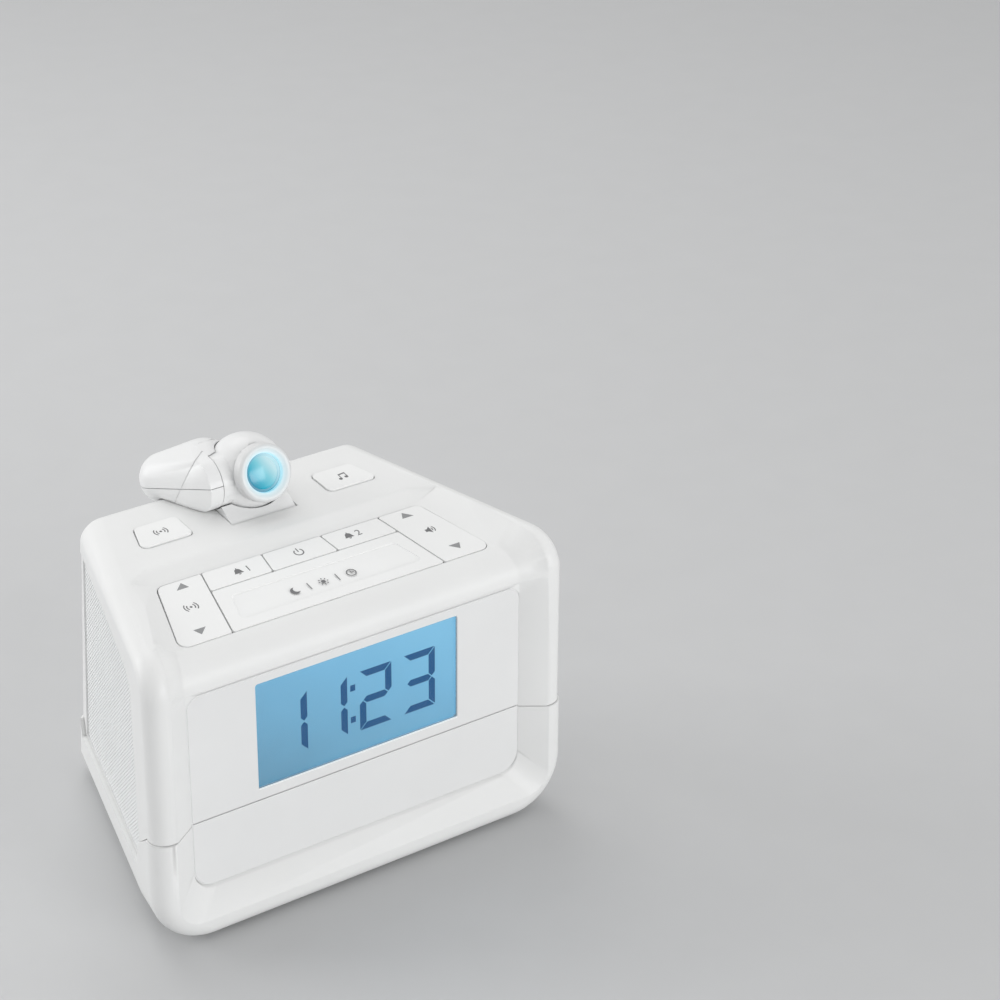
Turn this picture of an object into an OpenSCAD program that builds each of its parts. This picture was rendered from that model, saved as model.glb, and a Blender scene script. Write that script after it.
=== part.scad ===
// Projection alarm clock radio. Millimetres, Z up, display facing -Y.
// The origin is on the floor under the middle of the casing.

/* [Casing] */
// Width across the front frame
body_w = 168.6; // [150:1:185]
// Depth from the front of the frame to the foot of the back
body_d = 126; // [118:1:140]
// How far the top of the back leans forward of its foot
back_lean = 30; // [22:1:34]
// Height of the side crests above the front bend
crest_h = 113.4; // [110:0.2:122]
// Rise of the deck toward the back, in degrees
deck_rise = 3.8; // [2:0.1:5]
// Narrowing of each side toward the back, in degrees
side_taper = 16.2; // [13:0.1:17.5]
// Radius of the long outer edges
edge_r = 5.8; // [5:0.1:6.5]
// Radius of the lower front corners
corner_r = 21; // [17:0.5:25]
// Radius of the lower edges along the sides
low_r = 14.5; // [11:0.5:16]
// Radius of the corners of the back face
back_r = 8.6; // [7:0.5:11]
// Radius of the edges of the back face
back_edge_r = 4; // [3.4:0.1:4.8]
// Radius of the bend from front to top along the crests
bend_r = 14.5; // [11:0.5:16]
// Thickness of the casing walls
wall = 2.4; // [2:0.1:2.8]
// Height of the split line at the front
seam_h = 44.2; // [40:0.2:47]
// Height of the split line behind the front band
seam_mid = 21.5; // [19:0.1:24]
// Height of the split line at the back end of the side panels
seam_low = 17.7; // [16:0.1:20]
// Height of the split line round the back
seam_back = 24.2; // [22:0.2:27]
// How far the lower casing stands proud of the upper
lip = 0.6; // [0.4:0.1:0.9]
// Gap drawn between neighbouring pieces
gap = 0.35; // [0.3:0.05:0.5]
// Height of the rubber feet below the casing
foot_h = 1.6; // [1.2:0.1:3]

/* [Front] */
// Width of the display plate
plate_w = 136; // [130:1:140]
// Height of the foot of the lower fascia
plate_z0 = 18; // [16:0.5:20]
// Height of the top of the display plate
plate_z1 = 94.7; // [90:0.1:97]
// Depth of the frame in front of the display plate
frame_d = 5.8; // [4.5:0.1:6.2]
// Width of the sloping inner side of the frame
slope_w = 8.5; // [7:0.1:9]
// Thickness of the display plate and the fascia
plate_t = 2.2; // [1.8:0.1:2.6]
// Width of the display window
win_w = 82.4; // [70:0.5:90]
// Height of the display window
win_h = 41.9; // [36:0.5:43]
// Height of the foot of the display window
win_z = 49.1; // [47.6:0.1:50]

/* [Keys] */
// Height of the key pad surface at its middle
pad_h = 109.5; // [107.6:0.1:110.6]
// Tilt of the key pad, in degrees
pad_tilt = 9; // [7:0.5:10]
// Front edge of the key pad
pad_y0 = 10; // [9:0.5:12]
// Back edge of the key pad
pad_y1 = 43.5; // [42:0.5:45]
// Line between the wide front key and the row behind it
row_y = 33; // [31:0.5:35]
// Back end of the cove behind the key pad
cove_y = 50; // [48.5:0.5:52]
// Travel of every key
key_travel = 0.8; // [0.6:0.1:1]
// Thickness of a key cap
key_t = 2.4; // [2:0.1:2.8]
// Front edge of the two deck keys
deck_key_y0 = 61.5; // [60:0.5:63]
// Back edge of the two deck keys
deck_key_y1 = 75.5; // [74:0.5:77]

/* [Projector] */
// Width of the bay in the deck
bay_w = 27; // [25:0.5:30]
// Front edge of the bay
bay_y = 60; // [58:0.5:61]
// Depth of the bay below the deck
bay_depth = 17; // [14:0.5:20]
// Height of the tilting axis above the casing foot
axis_z = 127.9; // [127.4:0.1:129.6]
// Distance of the tilting axis in front of the back's top edge
axis_in = 14.7; // [13:0.1:15.6]
// Sideways place of the middle of the head
head_x = 1.6; // [0.6:0.1:2]
// Radius of the round head
head_r = 14.2; // [13.4:0.1:14.4]
// Upward slant of the lens, in degrees
lens_up = 20; // [10:1:25]
// Outer diameter of the focus ring
ring_d = 21.2; // [20:0.2:22.4]
// Distance of the focus ring's face from the tilting axis
ring_reach = 15.4; // [14.8:0.1:16]
// Diameter of the lens
lens_d = 13.5; // [12:0.1:14.4]
// Diameter of the tubular neck the head turns on
neck_d = 13; // [11:0.5:14]
// Radial clearance of running fits
run_fit = 0.08; // [0.05:0.01:0.1]

/* [Battery bay] */
// Length of the battery door along X
door_l = 62; // [56:1:66]
// Width of the battery door along Y
door_w = 34; // [32:1:38]
// Thickness of the battery door
door_t = 1.8; // [1.6:0.1:2]
// Radius of the battery door's hinge pins
door_pin_r = 0.7; // [0.6:0.05:0.8]

/* [Hidden] */
// Sub-part to draw, or all of them

k = tan(side_taper);
front_y = -frame_d;
back_y = front_y + body_d;
half_w = plate_w / 2;
white = [0.94, 0.94, 0.93];
grey = [0.62, 0.63, 0.65];
// Outer half width, crest height, pad height and back face at a place
function side_x(y) = body_w / 2 + edge_r * (1 / cos(side_taper) - 1) - k * y;
function deck_z(y) = crest_h + tan(deck_rise) * y;
function pad_z(y) = pad_h + tan(pad_tilt) * (y - 25);
function floor_x(y) = half_w - k * max(0, y);
top_y = back_y - back_lean;
axis_y = top_y - axis_in;
function back_at(z) = back_y - back_lean * z / deck_z(top_y);

// Pieces are drawn with y = 0 on the display plate's face and z = 0 at the
// casing's foot, then moved so that the origin is under the middle
mid_y = (front_y + back_y - 1) / 2;
module up() translate([0, -mid_y, foot_h]) children();
module ball(p, r, n = 20) translate(p) sphere(r, $fn = n);
// Prism along X with its outline given in Y and Z
module prism_x(pts, hw) rotate([90, 0, 90])
  linear_extrude(height = 2 * hw, center = true) polygon(pts);
module turn_x(x0, x1, y, z, r, n = 40)
  translate([x0, y, z]) rotate([0, 90, 0]) cylinder(h = x1 - x0, r = r, $fn = n);
module bar(x0, x1, y0, y1, z0, z1)
  translate([x0, y0, z0]) cube([x1 - x0, y1 - y0, z1 - z0]);
// Closed solid through a row of rings that hold the same number of points
module loft(rings) {
  n = len(rings[0]);
  m = len(rings);
  polyhedron(points = [for (r = rings) for (p = r) p],
    faces = concat(
      [[for (i = [n - 1 : -1 : 0]) i]],
      [for (j = [0 : m - 2]) for (i = [0 : n - 1])
        [j * n + i, j * n + (i + 1) % n, (j + 1) * n + (i + 1) % n]],
      [for (j = [0 : m - 2]) for (i = [0 : n - 1])
        [j * n + i, (j + 1) * n + (i + 1) % n, (j + 1) * n + i]],
      [[for (i = [0 : n - 1]) (m - 1) * n + i]]));
}
// Middle of each rounded corner of the slanting back, in Y and Z
back_tilt = atan(back_lean / deck_z(top_y));
back_m = back_y * cos(back_tilt) - back_edge_r;
back_q = crest_h * cos(deck_rise) - (back_r - back_edge_r) * cos(back_tilt - deck_rise) - back_edge_r;
back_cz = lip + (back_r - back_edge_r) * cos(back_tilt) + back_edge_r;
back_corners = [
  [(back_m * cos(deck_rise) - sin(back_tilt) * back_q) / cos(back_tilt - deck_rise),
   (back_q * cos(back_tilt) + sin(deck_rise) * back_m) / cos(back_tilt - deck_rise)],
  [(back_m - back_cz * sin(back_tilt)) / cos(back_tilt), back_cz]];
// Distance of that middle from the centre plane, so that it touches the side
function back_in(y) = side_x(y) - ((back_r - back_edge_r)
  * sqrt(1 - pow(sin(side_taper) * cos(back_tilt), 2)) + back_edge_r) / cos(side_taper);
// Casing form, moved inward by t
module body_form(t = 0) {
  n = t > 0 ? 16 : 28;
  r = edge_r - t;
  hull() {
    for (s = [-1, 1]) {
      translate([s * (body_w / 2 - corner_r), front_y + edge_r, lip + corner_r])
        rotate([90, 0, 0]) rotate_extrude($fn = t > 0 ? 32 : 56)
          translate([corner_r - edge_r, 0]) circle(r, $fn = n);
      for (a = [0 : 11.25 : 90]) let (y = front_y + bend_r - (bend_r - edge_r) * cos(a))
        ball([s * (side_x(y) - edge_r / cos(side_taper)), y,
          crest_h - bend_r + (bend_r - edge_r) * sin(a)], r, n);
      ball([s * (side_x(band_y) - low_r / cos(side_taper)), band_y, lip + low_r], low_r - t, n + 4);
      for (p = back_corners) translate([s * back_in(p[0]), p[0], p[1]])
        rotate([-90 + back_tilt, 0, 0]) rotate_extrude($fn = t > 0 ? 24 : 40)
          translate([back_r - back_edge_r, 0]) circle(back_edge_r - t, $fn = n - 8);
    }
  }
}
// Space in front of the plates and over the key pad, between the crests
module front_space() {
  c = plate_z0 + half_w;
  br = pad_y0 + 2;
  cz = pad_z(br) - br;
  h = frame_d + lip + 0.5;
  translate([0, 0, c]) rotate([90, 0, 0])
    linear_extrude(height = h, scale = 1 + slope_w * h / frame_d / half_w)
      translate([0, -c]) plate_shape(plate_z0, cz + 1, half_w, 8, 0);
  steps = [for (a = [0 : 6 : 84]) a];
  top = [[br, 0], [pad_y1 + 1.5, 0], [pad_y1 + 3, 1.1], [cove_y - 1.2, 0], [cove_y + 1.5, 0]];
  top_z = [pad_z(br), pad_z(pad_y1 + 1.5), pad_z(pad_y1 + 3) + 1, deck_z(cove_y - 1.2) - 1.2,
    deck_z(cove_y + 1.5) + 0.05];
  inner = concat([for (a = steps) [br - br * cos(a), cz + br * sin(a)]],
    [for (i = [0 : 4]) [top[i][0], top_z[i]]]);
  crest = concat([for (a = steps) let (t = crest_way(a, br, cz)) [br - t * cos(a), cz + t * sin(a)]],
    [for (i = [0 : 4]) [top[i][0], deck_z(top[i][0]) + (i == 4 ? 0.4 : 0)]]);
  outer = [for (i = [0 : len(inner) - 1])
    let (d = crest[i] - inner[i], u = d / norm(d)) crest[i] + u * 3];
  rim = [for (i = [0 : len(inner) - 1])
    slope_w * norm(outer[i] - inner[i]) / max(norm(crest[i] - inner[i]), 2.5)];
  loft([for (i = [0 : len(inner) - 1]) let (f = floor_x(inner[i][0]))
    [[-f, inner[i][0], inner[i][1]], [f, inner[i][0], inner[i][1]],
     [f + rim[i], outer[i][0], outer[i][1]], [-f - rim[i], outer[i][0], outer[i][1]]]]);
}
// Distance from the centre of the inner bend to the crest line, at angle a
function crest_way(a, br, cz) = let (
  q = [front_y + bend_r - br, crest_h - bend_r - cz],
  u = [-cos(a), sin(a)], b = u * q,
  t = b + sqrt(b * b - q * q + bend_r * bend_r),
  flat = min((br - front_y) / max(cos(a), 0.01), (crest_h - cz) / max(sin(a), 0.01)),
  p = [-flat * cos(a), flat * sin(a)])
  p[0] < q[0] && p[1] > q[1] ? t : flat;
// Upright outline in X and Z with rounded lower corners
module plate_shape(z0, z1, hw, rl, ru) {
  difference() {
    translate([-hw, z0]) square([2 * hw, z1 - z0]);
    if (rl > 0) for (s = [-1, 1]) corner_off(s * hw, z0, -s, 1, rl);
    if (ru > 0) for (s = [-1, 1]) corner_off(s * hw, z1, -s, -1, ru);
  }
}
module corner_off(x, z, sx, sz, r)
  translate([x, z]) scale([sx, sz]) difference() {
    translate([-1, -1]) square(r + 1);
    translate([r, r]) circle(r, $fn = 32);
  }
// Flat outline on the pad or the deck, raised to a slab between two planes
module slab(pts, r, z0, z1, rise, y_ref) {
  translate([0, y_ref, 0]) multmatrix([[1, 0, 0, 0], [0, 1, 0, 0], [0, rise, 1, 0]])
    translate([0, -y_ref, z0]) linear_extrude(height = z1 - z0)
      offset(r = r, $fn = 20) offset(delta = -r) polygon(pts);
}
// Outline of the whole key pad, widened by g
function pad_pts(g) = [[-floor_x(pad_y0) + 1.4 - g, pad_y0 - g],
  [floor_x(pad_y0) - 1.4 + g, pad_y0 - g],
  [floor_x(pad_y1) - 1.4 + g, pad_y1 + g],
  [-floor_x(pad_y1) + 1.4 - g, pad_y1 + g]];
function split_a(y) = 0.3316 * plate_w - 0.205 * y;
function split_b(y) = 0.1287 * plate_w - 0.125 * y;
deck_mid = (deck_key_y0 + deck_key_y1) / 2;
stem_x = bay_w / 2 + 21;
function deck_key_pts(s, g) = [[s * (bay_w / 2 + 14.2 - g), deck_key_y0 - g],
  [s * (side_x(deck_key_y0) - 17.6 + g), deck_key_y0 - g],
  [s * (side_x(deck_key_y1) - 17.6 + g), deck_key_y1 + g],
  [s * (bay_w / 2 + 14.2 - g), deck_key_y1 + g]];
module pad_slab(pts, r, z0, z1)
  slab(pts, r, pad_z(25) + z0, pad_z(25) + z1, tan(pad_tilt), 25);
module deck_slab(pts, r, z0, z1)
  slab(pts, r, deck_z(deck_mid) + z0, deck_z(deck_mid) + z1, tan(deck_rise), deck_mid);
// Places and normals used by the keys and the key board
board_drop = 12;
board_posts = [[62.6, 24], [30, 47.6]];
// Frame that runs along a side wall: X to the back, Y inward, Z up
module on_side(s) mirror([s < 0 ? 1 : 0, 0, 0])
  translate([side_x(0), 0, 0]) rotate([0, 0, 90 + side_taper]) children();
// Back edge of the frame band on the sides
band_y = 16.5;
panel_sink = 0.9;
function side_top(y) = crest_h - 16 + 0.098 * y;
function along(y) = y / cos(side_taper);
// Split line of the casing in Y and Z, from the front to the back
panel_end = back_at(seam_low) - 1.4 * back_edge_r;
split_pts = [[-40, seam_h], [plate_t, seam_h], [band_y, seam_h - 11], [band_y + 5, seam_mid],
  [panel_end, seam_low], [panel_end + 2.2, seam_back], [2 * body_d, seam_back]];
module side_recess() on_side(1) translate([0, panel_sink, 0]) rotate([90, 0, 0])
  linear_extrude(height = 10) offset(r = 3, $fn = 24) offset(delta = -3)
    polygon([[along(band_y), -20], [along(band_y), side_top(band_y) - 4],
      [along(band_y) + 6, side_top(band_y + 6)], [2 * body_d, side_top(2 * body_d)], [2 * body_d, -20]]);
// Outline of a side panel, widened by g
module panel_shape(g) offset(delta = g) offset(r = 2, $fn = 24) offset(delta = -2)
  polygon([[along(band_y) + 1.2, seam_h - 11],
    [along(band_y + 6), seam_mid + 0.7], [along(panel_end - 1.5), seam_low + 0.7],
    [along(back_at(90) - 7), side_top(back_at(90) - 7) - 1.6],
    [along(band_y) + 7.4, side_top(band_y + 7.4) - 1.6], [along(band_y) + 1.2, side_top(band_y) - 5.8]]);
module panel_solid(g, d0, d1) translate([0, d1, 0]) rotate([90, 0, 0])
  linear_extrude(height = d1 - d0) panel_shape(g);
// Everything below the split line
module lower_zone(g) prism_x(concat([for (p = split_pts) [p[0], p[1] - g]],
  [[2 * body_d, -10], [-40, -10]]), body_w);
post_x = body_w / 2 - 25.5;
rear_y = back_y - 28.2;
rear_x = side_x(rear_y) - 20.8;
post_xy = [[-post_x, 15], [post_x, 15], [-rear_x, rear_y], [rear_x, rear_y]];
post_top = seam_back;
screw_seat = 8;
jack_x = -24;
jack_z = seam_back + 12;
jack_d = 5.6;
door_y = 44;
door_hinge_y = door_y - door_w / 2 + door_t / 2;
door_hinge_z = 0.2 + door_t / 2;
win_cz = win_z + win_h / 2;
spk_u = 66;
spk_z = 0.54 * crest_h;
spk_r = 29;

module lower_casing() up() color(white) difference() {
  union() {
    difference() {
      intersection() { body_form(-lip); lower_zone(0); }
      difference() {
        body_form(wall);
        // thick floor around the battery door
        translate([-door_l / 2 - 5, door_y - door_w / 2 - 4, -5])
          cube([door_l + 10, door_w + 8, 5 + door_t + 3]);
        // wall behind the fascia and under the slope of the frame
        prism_x([[-frame_d - 2, seam_h + 5], [plate_t + wall, seam_h + 5],
          [plate_t + wall, plate_z0 - 4], [-frame_d - 2, plate_z0 - slope_w - 6]], half_w * 1.2);
      }
    }
    intersection() {
      for (p = post_xy) translate([p[0], p[1], 1]) cylinder(h = post_top - 1, d = 9, $fn = 24);
      body_form(0.5);
    }
    // battery box walls
    difference() {
      translate([-door_l / 2 - 1.6, door_y - door_w / 2 + 1, 2])
        cube([door_l + 3.2, door_w - 2, 17]);
      translate([-door_l / 2, door_y - door_w / 2 + 2.6, 1])
        cube([door_l, door_w - 5.2, 16.4]);
    }
  }
  front_space();
  // pocket of the lower fascia
  translate([0, plate_t, 0]) rotate([90, 0, 0]) linear_extrude(height = plate_t + 1)
    plate_shape(plate_z0 - 1, seam_h + 10, half_w, 8, 0);
  for (p = post_xy) translate([p[0], p[1], -2]) {
    cylinder(h = 100, d = 3.4, $fn = 20);
    cylinder(h = 2 + screw_seat, d = 6.8, $fn = 24);
  }
  // opening and ledge of the battery door, and the bores of its hinge pins
  translate([-door_l / 2 + 2, door_y - door_w / 2 + 2.6, -1])
    cube([door_l - 4, door_w - 5.2, 6]);
  translate([-door_l / 2 - gap, door_y - door_w / 2 - gap, -1])
    cube([door_l + 2 * gap, door_w + 2 * gap, 1 + 0.2 + door_t + gap]);
  turn_x(-door_l / 2 - 2.6, door_l / 2 + 2.6, door_hinge_y, door_hinge_z, door_pin_r + run_fit, 24);
  for (s = [-1, 1]) for (e = [0, 1]) foot_place(s, e) translate([0, 0, -1])
    cylinder(h = 2, d = 10.4, $fn = 28);
}
module foot_place(s, e)
  translate([s * (e == 0 ? body_w / 2 - corner_r - 17 : side_x(back_y - 20) - 14),
    e == 0 ? 12 : back_y - 18, 0]) children();
module back_place(x, z) translate([x, back_at(z), z])
  rotate([-90 + back_tilt, 0, 0]) children();

module upper_casing() up() color(white) difference() {
  union() {
    difference() {
      body_form(0);
      difference() {
        body_form(wall);
        // thicker floor under the front bend, the pad and the deck front
        prism_x([[-frame_d - 1, plate_z0 - 20], [plate_t + wall, plate_z0 - 20],
          [plate_t + wall, plate_z1 - 2], [pad_y0 + 3, pad_z(pad_y0 + 3) - wall - 4],
          [cove_y + 2, pad_z(cove_y + 2) - wall - 4], [cove_y + 4, deck_z(cove_y) - wall],
          [cove_y + 4, deck_z(cove_y) + 5], [-frame_d - 1, deck_z(cove_y) + 5]],
          half_w * 1.2);
      }
    }
    intersection() {
      union() {
        // bay walls and floor
        bar(-bay_w / 2 - 2, bay_w / 2 + 2, bay_y - 2, 2 * body_w,
          deck_z(bay_y) - bay_depth - 2, deck_z(bay_y) + 20);
        // long posts that meet the lower casing
        for (i = [0 : 3]) translate([post_xy[i][0], post_xy[i][1], post_top + 0.02])
          cylinder(h = i < 2 ? 58 : 100, d = 9, $fn = 24);
        for (s = [-1, 1]) {
          // ribs that tie the front posts to the front wall
          bar(s * post_x - 1, s * post_x + 1, plate_t + 1, 15, post_top + 0.02, pad_z(8) - 22);
          // posts of the key board and of the deck switches
          for (p = board_posts) translate([s * p[0], p[1], pad_z(p[1]) - board_drop - 3])
            cylinder(h = board_drop - 2, d = 4, $fn = 16);
          for (y = [-10, 10]) translate([s * stem_x, deck_mid + y, deck_z(deck_mid) - 14])
            cylinder(h = 14, d = 3, $fn = 16);
        }
      }
      body_form(0.6);
    }
  }
  lower_zone(-0.02);
  front_space();
  // pockets of the plate and the fascia and the display opening
  translate([0, plate_t, 0]) rotate([90, 0, 0]) linear_extrude(height = plate_t + 1)
    plate_shape(plate_z0 - 1, plate_z1, half_w, 0, 5);
  bar(-win_w / 2 - 3, win_w / 2 + 3, 0, 8, win_z - 3, win_z + win_h + 2.4);
  // key openings
  pad_slab(pad_pts(0), 3.5, -9, 4);
  for (s = [-1, 1]) deck_slab(deck_key_pts(s, 0), 2.5, -5, 5);
  // bay of the projector
  bar(-bay_w / 2, bay_w / 2, bay_y, 2 * body_w, deck_z(bay_y) - bay_depth, deck_z(bay_y) + 40);
  for (s = [-1, 1]) {
    mirror([s < 0 ? 1 : 0, 0, 0]) side_recess();
    on_side(s) {
      panel_solid(gap / 2, -2, wall + 1.5);
      panel_solid(2 + gap, wall, wall + 2.5);
    }
  }
  for (p = post_xy) translate([p[0], p[1], post_top - 1]) cylinder(h = 15, d = 2.6, $fn = 16);
  back_place(jack_x, jack_z) translate([0, 0, -8]) cylinder(h = 20, d = 9.6, $fn = 28);
}
module display_plate() up() color(white) difference() {
  translate([0, plate_t, 0]) rotate([90, 0, 0]) linear_extrude(height = plate_t)
    plate_shape(seam_h + gap / 2 + 0.6, plate_z1 - gap, half_w - gap, 0.8, 5 - gap);
  translate([0, plate_t + 1, 0]) rotate([90, 0, 0]) linear_extrude(height = plate_t + 2)
    offset(r = 1, $fn = 16) offset(delta = -1)
      translate([-win_w / 2, win_z]) square([win_w, win_h]);
}
module lower_fascia() up() color(white)
  translate([0, plate_t, 0]) rotate([90, 0, 0]) linear_extrude(height = plate_t)
    plate_shape(plate_z0 + gap, seam_h + 0.6 - gap / 2, half_w - gap, 8 - gap, 0.8);
module display_window() up() color([0.75, 0.87, 0.95, 0.5])
  translate([0, plate_t, 0]) rotate([90, 0, 0]) linear_extrude(height = plate_t - 0.5)
    offset(r = 0.8, $fn = 16) offset(delta = -0.8)
      translate([-win_w / 2 + 0.1, win_z + 0.1]) square([win_w - 0.2, win_h - 0.2]);
module lcd_panel() up() color([0.42, 0.68, 0.86]) difference() {
  bar(-win_w / 2 - 2.6, win_w / 2 + 2.6, plate_t, plate_t + 2.8, win_z - 2.6, win_z + win_h + 2);
  // digits 11:23 sunk into the face
  for (g = digit_bars()) translate([g[0], plate_t - 1, g[1]]) cube([g[2], 1.15, g[3]]);
}
// Bars of the shown time: x, z, width and height of each
dg_h = 23.8;
dg_w = 13.2;
dg_s = 2.6;
dg_z = win_cz - 1.2;
function seg(x, on) = [for (i = on) let (z = dg_z - dg_h / 2)
  i == 0 ? [x + dg_s, z + dg_h - dg_s, dg_w - 2 * dg_s, dg_s] :
  i == 1 ? [x + dg_w - dg_s, z + dg_h / 2 + 0.5, dg_s, dg_h / 2 - 0.9] :
  i == 2 ? [x + dg_w - dg_s, z + 0.4, dg_s, dg_h / 2 - 0.9] :
  i == 3 ? [x + dg_s, z, dg_w - 2 * dg_s, dg_s] :
  i == 4 ? [x, z + 0.4, dg_s, dg_h / 2 - 0.9] :
  i == 5 ? [x, z + dg_h / 2 + 0.5, dg_s, dg_h / 2 - 0.9] :
  [x + dg_s, z + dg_h / 2 - dg_s / 2, dg_w - 2 * dg_s, dg_s]];
function digit_bars() = concat(seg(-33.3, [1, 2]), seg(-17, [1, 2]),
  seg(1.3, [0, 1, 6, 4, 3]), seg(19.6, [0, 1, 6, 2, 3]),
  [[-2.5, dg_z + 5.2, 2, 2.4], [-2.5, dg_z - 7.6, 2, 2.4]]);
module backlight() up() color([0.85, 0.93, 0.98])
  bar(-win_w / 2 - 2, win_w / 2 + 2, plate_t + 2.8, plate_t + 7, win_z - 2, win_z + win_h + 1.6);
module main_board() up() color([0.12, 0.42, 0.26]) {
  bar(-win_w / 2 - 4.8, win_w / 2 + 4.8, plate_t + 7, plate_t + 8.6, win_z - 22, win_z + win_h + 2);
  for (x = [-36, -12, 16]) bar(x, x + 14, plate_t + 8.6, plate_t + 11.6, win_z - 8, win_z + 6);
  for (x = [30, 38]) translate([x, plate_t + 8.6, win_z + 22]) rotate([-90, 0, 0])
    cylinder(h = 9, d = 6.5, $fn = 20);
}
module side_panel(s) up() color(white) difference() {
  on_side(s) panel_body(s);
  lower_zone(-gap / 2);
}
// Distance between the slanting ribs, measured along the foot of the panel
rib_step = 2.72;
rib_w = rib_step * 0.35;
// How far the sound slots reach under the ribs beside them
slot_tuck = 0.1;
// Slant of the ribs
rib_turn = 50;
module rib_place(i) translate([i * rib_step + along(band_y), 0, 0]) rotate([0, -rib_turn, 0]) children();
// The speaker's middle seen from rib i: across the groove after it, and up along it
slot_r = spk_r - 5;
function rib_to_speaker(i) = (spk_u - i * rib_step - along(band_y)) * cos(rib_turn)
  + spk_z * sin(rib_turn) - rib_step / 2;
function speaker_up_rib(i) = (i * rib_step + along(band_y) - spk_u) * sin(rib_turn) + spk_z * cos(rib_turn);
function slot_half(i) = sqrt(slot_r * slot_r - rib_to_speaker(i) * rib_to_speaker(i));
module panel_body(s) {
  difference() {
    union() {
      panel_solid(0, panel_sink + 0.7, wall + 0.3);
      difference() {
        panel_solid(2, wall, wall + 1.2);
        panel_solid(-3, wall + 0.8, wall + 2);
      }
    }
    // sound slots between the ribs in front of the speaker
    if (s < 0) for (i = [24 : 64]) if (abs(rib_to_speaker(i)) < slot_r - 2) rib_place(i)
      translate([rib_w - slot_tuck, -1, speaker_up_rib(i) - slot_half(i)])
        cube([rib_step * cos(rib_turn) - rib_w + 2 * slot_tuck, 8, 2 * slot_half(i)]);
    if (s < 0) at_speaker_local() translate([0, 0, -0.02]) cylinder(h = 8, r = spk_r + 0.5, $fn = 40);
  }
  // slanting ribs
  intersection() {
    panel_solid(-1, panel_sink + 0.1, panel_sink + 1);
    for (i = [0 : 77]) rib_place(i) translate([0, panel_sink + 0.25, 0])
      cube([rib_w, 0.5, 190]);
  }
}
module at_speaker_local() translate([spk_u, wall + 1.2, spk_z]) rotate([-90, 0, 0]) children();
module side_panel_left() side_panel(-1);
module side_panel_right() side_panel(1);
module at_speaker() up() on_side(-1) at_speaker_local() children();
module speaker_frame() at_speaker() color([0.2, 0.2, 0.21]) difference() {
  union() {
    cylinder(h = 2, r = spk_r, $fn = 48);
    translate([0, 0, 2]) cylinder(h = 12, r1 = spk_r - 3, r2 = 14, $fn = 48);
  }
  translate([0, 0, -1]) cylinder(h = 2.2, r = spk_r - 3.4, $fn = 48);
  translate([0, 0, 1.1]) cylinder(h = 12, r1 = spk_r - 4.4, r2 = 11.5, $fn = 48);
  translate([0, 0, 12]) cylinder(h = 3, r = 11.5, $fn = 36);
}
module speaker_cone() at_speaker() color([0.1, 0.1, 0.11]) rotate_extrude($fn = 48)
  polygon([[0, 9.4], [8, 9.4], [spk_r - 4.7, 1.15], [spk_r - 3.6, 0.85], [spk_r - 3.6, 0.3],
    [spk_r - 5, 0.6], [7.6, 8.6], [0, 7.2]]);
module speaker_magnet() at_speaker() color(grey) translate([0, 0, 14]) cylinder(h = 9, r = 15.5, $fn = 40);
module key_board() up() color([0.12, 0.42, 0.26]) {
  difference() {
    union() {
      pad_slab([[2 - half_w, pad_y0 + 5], [half_w - 2, pad_y0 + 5], [half_w - 10, cove_y], [10 - half_w, cove_y]], 1,
        -board_drop - 1.6, -board_drop);
      for (p = switch_xy()) translate([p[0] - 3, p[1] - 3, pad_z(p[1]) - board_drop - 0.6])
        cube([6, 6, 4.2]);
    }
    for (s = [-1, 1]) for (p = board_posts)
      translate([s * p[0], p[1], pad_z(p[1]) - 30]) cylinder(h = 40, d = 4.1, $fn = 16);
  }
}
function switch_xy() = [[-45.5, 27], [45.5, 27], [-26, 38], [0, 38], [26, 38], [0, 21]];
// Key of the pad: cap between lines, stem over its switch
module pad_key(pts, sx, sy) up() color(white) {
  difference() {
    intersection() {
      pad_slab(pts, 0.8, -key_t, 0.3);
      pad_slab(pad_pts(-gap), 3.5 - gap, -key_t - 1, 1);
    }
    if (sy == 21) pad_slab([[-split_a(15) + 5, 15], [split_a(15) - 5, 15],
      [split_a(row_y) - 5, row_y - 5], [-split_a(row_y) + 5, row_y - 5]], 2, -0.1, 2);
  }
  intersection() {
    translate([sx, sy, pad_z(sy) - 20]) cylinder(h = 20 - key_t / 2, d = 4.6, $fn = 20);
    pad_slab([[-90, 0], [90, 0], [90, 60], [-90, 60]], 0.8,
      -board_drop + 4.1 + key_travel, -key_t / 2);
  }
}
g2 = 0.25;
module tuner_key() pad_key([[-floor_x(pad_y0) + 1.4 + gap, pad_y0 + gap],
  [-split_a(pad_y0) - g2, pad_y0 + gap], [-split_a(pad_y1) - g2, pad_y1 - gap],
  [-floor_x(pad_y1) + 1.4 + gap, pad_y1 - gap]], -45.5, 27);
module volume_key() pad_key([[floor_x(pad_y0) - 1.4 - gap, pad_y0 + gap],
  [split_a(pad_y0) + g2, pad_y0 + gap], [split_a(pad_y1) + g2, pad_y1 - gap],
  [floor_x(pad_y1) - 1.4 - gap, pad_y1 - gap]], 45.5, 27);
module alarm_1_key() pad_key([[-split_a(row_y) + g2, row_y + g2], [-split_b(row_y) - g2, row_y + g2],
  [-split_b(pad_y1) - g2, pad_y1 - gap], [-split_a(pad_y1) + g2, pad_y1 - gap]], -26, 38);
module alarm_2_key() pad_key([[split_a(row_y) - g2, row_y + g2], [split_b(row_y) + g2, row_y + g2],
  [split_b(pad_y1) + g2, pad_y1 - gap], [split_a(pad_y1) - g2, pad_y1 - gap]], 26, 38);
module power_key() pad_key([[-split_b(row_y) + g2, row_y + g2], [split_b(row_y) - g2, row_y + g2],
  [split_b(pad_y1) - g2, pad_y1 - gap], [-split_b(pad_y1) + g2, pad_y1 - gap]], 0, 38);
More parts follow.
